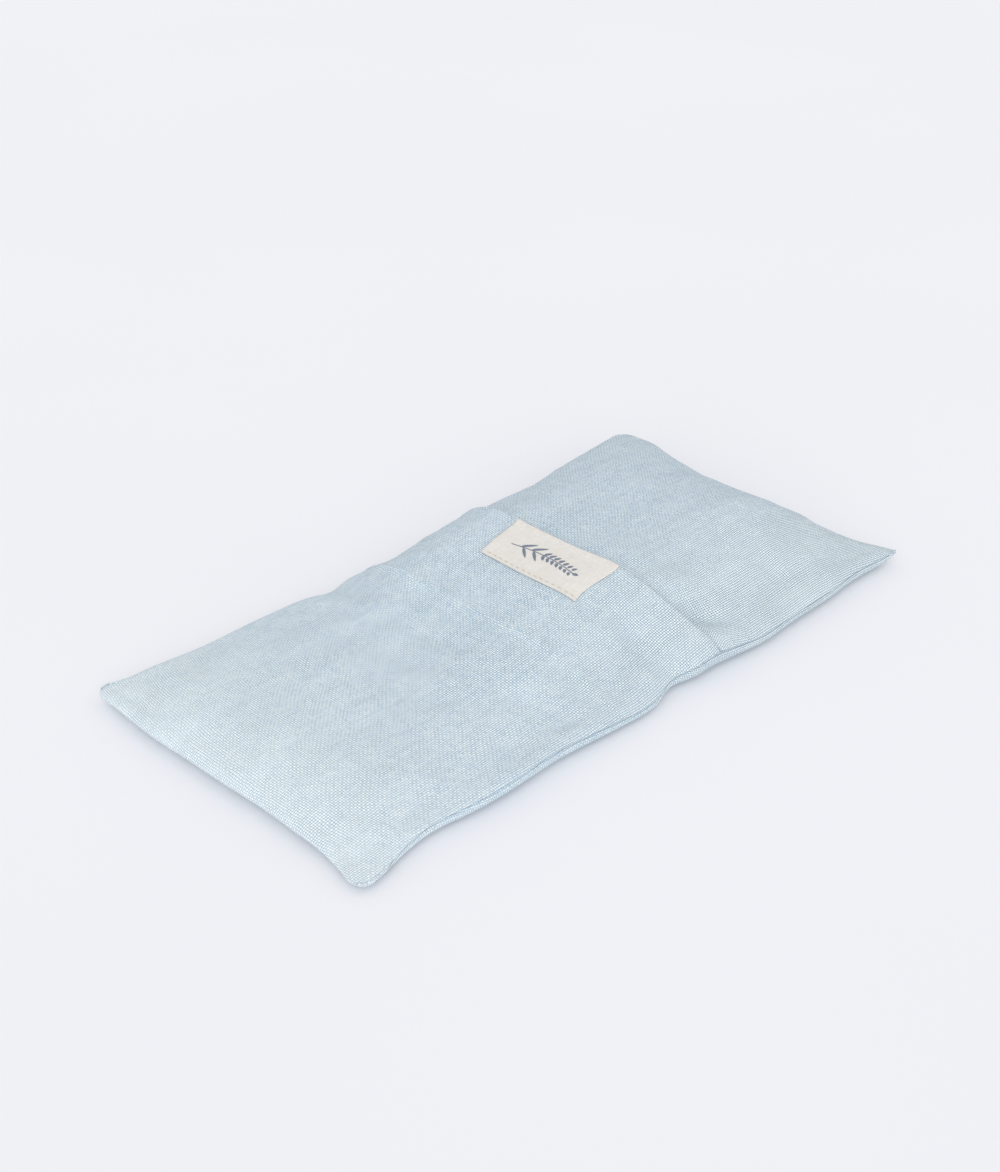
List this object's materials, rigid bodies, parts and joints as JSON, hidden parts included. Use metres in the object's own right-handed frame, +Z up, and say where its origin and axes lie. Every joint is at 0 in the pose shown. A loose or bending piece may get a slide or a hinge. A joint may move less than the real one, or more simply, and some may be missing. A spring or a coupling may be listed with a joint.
{
  "type": "eye pillow",
  "caption": "Slim rectangular eye pillow: a seed-filled cotton inner pillow in a light blue linen envelope cover with a hemmed flap and a small cream label.",
  "frame": {"origin": "middle of the pillow's footprint, on the underside that it rests on", "axes": "+X along the length, from the plain front end to the rear end whose panel tucks under the flap; +Y across the width; +Z up"},
  "size_m": [0.22, 0.11, 0.0248],
  "materials": {
    "linen": "plain-weave light blue linen, matt",
    "sewing_thread": "matching blue sewing thread",
    "overlock_thread": "pale blue overlock thread",
    "label_tape": "cream cotton twill tape",
    "label_thread": "beige sewing thread",
    "inner_cotton": "unbleached plain cotton",
    "inner_thread": "off-white sewing thread",
    "flax_seed": "glossy brown flax seed"
  },
  "bodies": {
    "cover": {"cover_back_panel": "linen", "cover_front_panel": "linen", "cover_rear_panel": "linen", "rear_hem_fold": "linen", "rear_hem_stitches": "sewing_thread", "seam_allowance_far": "linen", "seam_allowance_near": "linen", "side_stitches_far": "sewing_thread", "side_stitches_near": "sewing_thread", "overlock_far": "overlock_thread", "overlock_near": "overlock_thread"},
    "flap": {"cover_flap": "linen", "flap_hem_fold": "linen", "flap_hem_stitches": "sewing_thread", "label": "label_tape", "label_stitches": "label_thread"},
    "inner_pillow": {"inner_bag_top": "inner_cotton", "inner_bag_bottom": "inner_cotton", "inner_seam_stitches": "inner_thread", "inner_closing_stitches": "inner_thread", "seed_filling": "flax_seed"}
  },
  "joints": [
    {"name": "flap_lift", "type": "hinge", "parent": "cover", "child": "flap", "pos_m": [-0.035, 0, 0.0236], "axis": [0, -1, 0], "range_deg": [0, 20]},
    {"name": "insert_shift", "type": "slide", "parent": "cover", "child": "inner_pillow", "axis": [1, 0, 0], "range_m": [-0.003, 0.003]}
  ]
}
